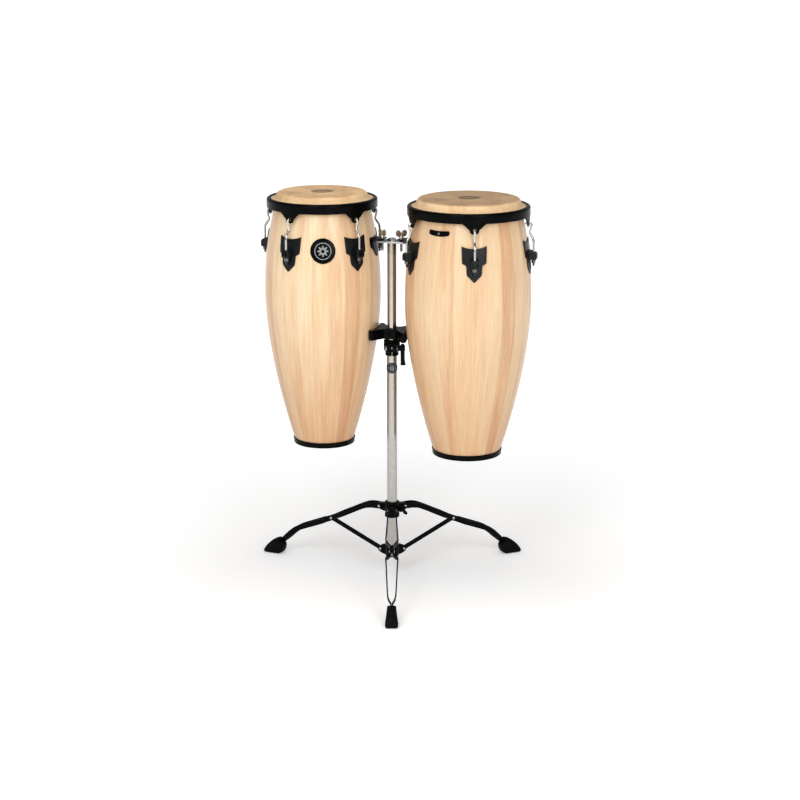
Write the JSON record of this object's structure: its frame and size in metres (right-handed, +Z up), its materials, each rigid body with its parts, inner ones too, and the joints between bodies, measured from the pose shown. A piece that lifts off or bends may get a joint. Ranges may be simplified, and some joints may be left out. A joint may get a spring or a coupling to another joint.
{
  "type": "conga drums",
  "caption": "Two stave-shell conga drums side by side on a folding double stand, with a telescopic post, a padded cradle and a tripod base.",
  "frame": {"origin": "on the floor, at the middle of the underside of the whole object's box; the post stands about 5 mm to the left of it and 99 mm behind it", "axes": "+Z up, the front leg points along -Y, the small drum is towards -X and the large drum towards +X"},
  "size_m": [0.7748, 0.665, 1.0924],
  "materials": {
    "shell_wood": "clear satin lacquer over pale staves",
    "drum_skin": "stretched rawhide, low sheen",
    "black_metal": "black powder coat, semi-gloss",
    "chrome": "bright chrome plate",
    "plate_steel": "zinc-plated, brushed",
    "rubber": "moulded, matt",
    "clamp_plastic": "moulded nylon, fine texture",
    "badge_plastic": "gloss black with a pale printed pattern"
  },
  "bodies": {
    "root": {"lower_tube": "chrome", "lower_hub": "black_metal", "height_clamp": "black_metal", "clamp_bolt": "chrome", "tube_bush": "clamp_plastic", "stand_emblem": "badge_plastic"},
    "collar": {"leg_collar": "black_metal"},
    "collar_bolt": {"collar_wing_bolt": "black_metal"},
    "mast": {"upper_tube": "chrome"},
    "carrier": {"crossbar": "plate_steel", "cradle": "black_metal", "small_cradle_pad": "rubber", "large_cradle_pad": "rubber"},
    "lever": {"clamp_lever": "clamp_plastic"},
    "small_bolt": {"small_bracket_wing_bolt": "chrome"},
    "large_bolt": {"large_bracket_wing_bolt": "chrome"},
    "leg_1": {"leg_1_left_bar": "black_metal", "leg_1_right_bar": "black_metal", "leg_1_foot": "rubber"},
    "brace_1": {"strut_1": "black_metal"},
    "leg_2": {"leg_2_left_bar": "black_metal", "leg_2_right_bar": "black_metal", "leg_2_foot": "rubber"},
    "brace_2": {"strut_2": "black_metal"},
    "leg_3": {"leg_3_left_bar": "black_metal", "leg_3_right_bar": "black_metal", "leg_3_foot": "rubber"},
    "brace_3": {"strut_3": "black_metal"},
    "small_drum": {"small_shell": "shell_wood", "small_head": "drum_skin", "small_rim": "black_metal", "small_bottom_ring": "black_metal", "small_mount_bracket": "black_metal", "small_badge": "badge_plastic", "small_lug_plate_1": "black_metal", "small_lug_plate_2": "black_metal", "small_lug_plate_3": "black_metal", "small_lug_plate_4": "black_metal", "small_lug_plate_5": "black_metal", "small_tension_hook_1": "chrome", "small_tension_hook_2": "chrome", "small_tension_hook_3": "chrome", "small_tension_hook_4": "chrome", "small_tension_hook_5": "chrome"},
    "large_drum": {"large_shell": "shell_wood", "large_head": "drum_skin", "large_rim": "black_metal", "large_bottom_ring": "black_metal", "large_mount_bracket": "black_metal", "large_badge": "badge_plastic", "large_lug_plate_1": "black_metal", "large_lug_plate_2": "black_metal", "large_lug_plate_3": "black_metal", "large_lug_plate_4": "black_metal", "large_lug_plate_5": "black_metal", "large_tension_hook_1": "chrome", "large_tension_hook_2": "chrome", "large_tension_hook_3": "chrome", "large_tension_hook_4": "chrome", "large_tension_hook_5": "chrome"}
  },
  "joints": [
    {"name": "collar_slide", "type": "slide", "parent": "root", "child": "collar", "axis": [0, 0, 1], "range_m": [0, 0.21946]},
    {"name": "collar_bolt_turn", "type": "hinge", "parent": "collar", "child": "collar_bolt", "pos_m": [0.02104, 0.08344, 0.1995], "axis": [0.866, -0.5, 0], "continuous": true},
    {"name": "leg_1_hinge", "type": "hinge", "parent": "collar", "child": "leg_1", "pos_m": [-0.00511, 0.06204, 0.2023], "axis": [1, 0, 0], "range_deg": [0, 58.71]},
    {"name": "strut_1_hinge", "type": "hinge", "parent": "root", "child": "brace_1", "pos_m": [-0.00511, 0.06204, 0.074], "axis": [1, 0, 0], "range_deg": [-58.71, 0]},
    {"name": "leg_2_hinge", "type": "hinge", "parent": "collar", "child": "leg_2", "pos_m": [0.0265, 0.11679, 0.2023], "axis": [-0.5, 0.866, 0], "range_deg": [0, 58.71]},
    {"name": "strut_2_hinge", "type": "hinge", "parent": "root", "child": "brace_2", "pos_m": [0.0265, 0.11679, 0.074], "axis": [-0.5, 0.866, 0], "range_deg": [-58.71, 0]},
    {"name": "leg_3_hinge", "type": "hinge", "parent": "collar", "child": "leg_3", "pos_m": [-0.03672, 0.11679, 0.2023], "axis": [-0.5, -0.866, 0], "range_deg": [0, 58.71]},
    {"name": "strut_3_hinge", "type": "hinge", "parent": "root", "child": "brace_3", "pos_m": [-0.03672, 0.11679, 0.074], "axis": [-0.5, -0.866, 0], "range_deg": [-58.71, 0]},
    {"name": "height_slide", "type": "slide", "parent": "root", "child": "mast", "axis": [0, 0, 1], "range_m": [0, 0.22]},
    {"name": "post_swivel", "type": "hinge", "parent": "mast", "child": "carrier", "pos_m": [-0.00511, 0.09854, 0.965], "axis": [0, 0, 1], "continuous": true},
    {"name": "clamp_lever_hinge", "type": "hinge", "parent": "root", "child": "lever", "pos_m": [0.02439, 0.07204, 0.669], "axis": [-1, 0, 0], "range_deg": [0, 100]},
    {"name": "small_bolt_turn", "type": "hinge", "parent": "carrier", "child": "small_bolt", "pos_m": [-0.031, 0.1062, 0.9688], "axis": [0, 0, 1], "continuous": true},
    {"name": "large_bolt_turn", "type": "hinge", "parent": "carrier", "child": "large_bolt", "pos_m": [0.02078, 0.09087, 0.9688], "axis": [0, 0, 1], "continuous": true},
    {"name": "small_drum_slide", "type": "slide", "parent": "carrier", "child": "small_drum", "axis": [-0.9588, 0.284, 0], "range_m": [0, 0.06]},
    {"name": "large_drum_slide", "type": "slide", "parent": "carrier", "child": "large_drum", "axis": [0.9588, -0.284, 0], "range_m": [0, 0.06]}
  ],
  "couplings": [
    {"joint": "leg_1_hinge", "follows": "collar_slide", "rad_per_m": 4.6678},
    {"joint": "strut_1_hinge", "follows": "collar_slide", "rad_per_m": -4.6678},
    {"joint": "leg_2_hinge", "follows": "collar_slide", "rad_per_m": 4.6678},
    {"joint": "strut_2_hinge", "follows": "collar_slide", "rad_per_m": -4.6678},
    {"joint": "leg_3_hinge", "follows": "collar_slide", "rad_per_m": 4.6678},
    {"joint": "strut_3_hinge", "follows": "collar_slide", "rad_per_m": -4.6678}
  ]
}
